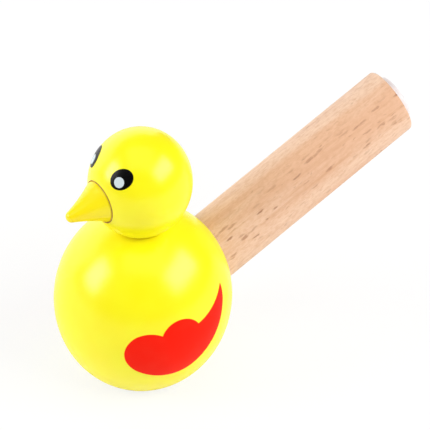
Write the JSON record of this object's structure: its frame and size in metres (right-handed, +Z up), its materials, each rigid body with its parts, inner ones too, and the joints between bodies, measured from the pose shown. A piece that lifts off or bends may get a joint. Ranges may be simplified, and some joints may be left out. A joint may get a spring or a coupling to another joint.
{
  "type": "bird whistle",
  "caption": "Wooden bird whistle with an egg-shaped body, ball head, cone beak, painted wings and eyes, and a round pipe tail that is blown at its end.",
  "frame": {"origin": "on the flat foot that the whistle stands on, straight under the middle of the egg-shaped body", "axes": "+Z up; the bird faces -X and its tail pipe points to +X, rising about 22 degrees; Y runs across, with the bird's left side towards -Y"},
  "size_m": [0.1044, 0.0452, 0.0706],
  "materials": {
    "yellow_lacquer": "glossy lemon-yellow lacquer on turned hardwood",
    "orange_yellow_lacquer": "glossy orange-yellow lacquer on turned hardwood",
    "red_paint": "printed red paint, satin",
    "black_paint": "printed black paint, glossy",
    "white_paint": "printed white paint, satin",
    "bare_hardwood": "bare turned hardwood",
    "beech": "sanded natural beech with short dark flecks along the grain",
    "white_plastic": "moulded white plastic, slightly glossy"
  },
  "bodies": {
    "root": {"body": "yellow_lacquer", "head": "yellow_lacquer", "beak": "orange_yellow_lacquer", "neck_dowel": "bare_hardwood", "tail_tube": "beech", "mouth_plug": "white_plastic"}
  },
  "joints": []
}
